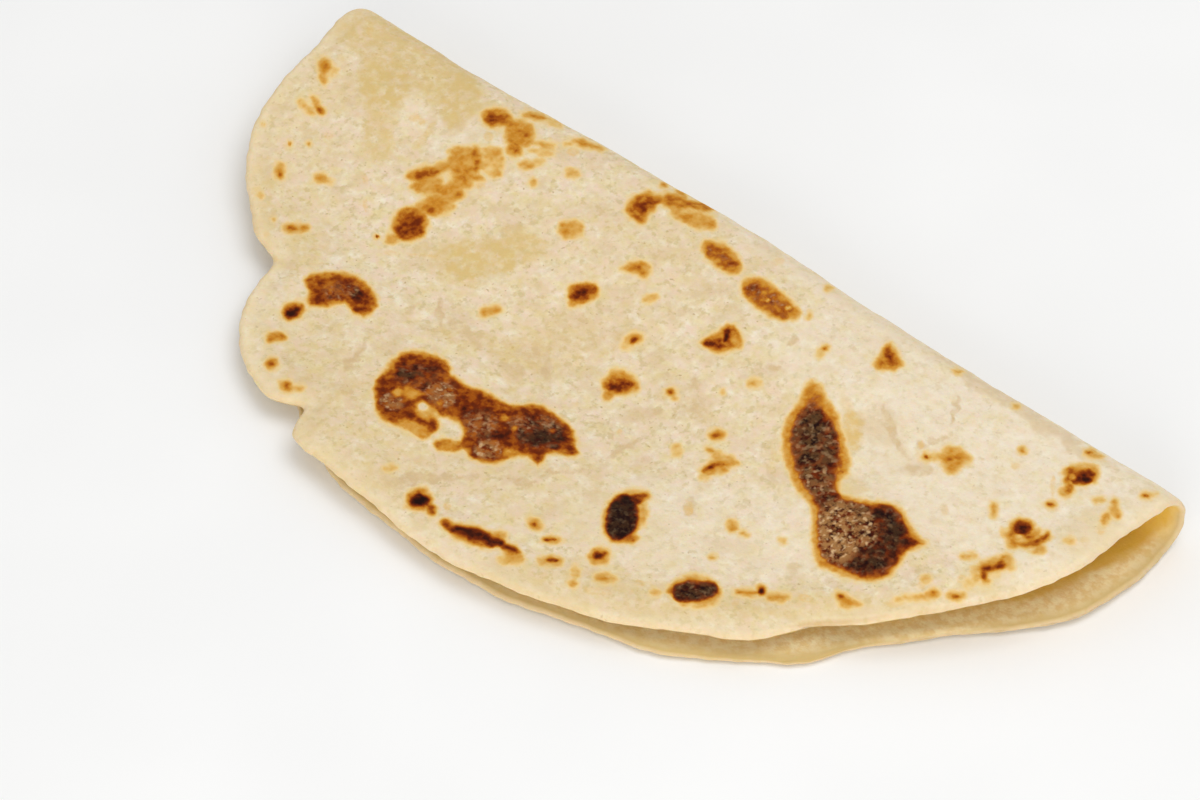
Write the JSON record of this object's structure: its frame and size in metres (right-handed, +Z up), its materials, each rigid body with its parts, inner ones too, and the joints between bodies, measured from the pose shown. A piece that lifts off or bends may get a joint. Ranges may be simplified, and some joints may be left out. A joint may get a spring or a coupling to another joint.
{
  "type": "roti",
  "caption": "Soft round flatbread folded once across its middle into a half disc, with browned blisters and an uneven, slightly gaping rim.",
  "frame": {"origin": "middle of the folded bread's bounding box, on the surface that it lies on", "axes": "+X along the fold towards the gaping end, +Y towards the fold, with the open rims facing -Y, +Z up"},
  "size_m": [0.2042, 0.0984, 0.0127],
  "materials": {
    "crust": "matte, floury, soft baked dough with brown char spots"
  },
  "bodies": {
    "root": {"roti": "crust"}
  },
  "joints": []
}
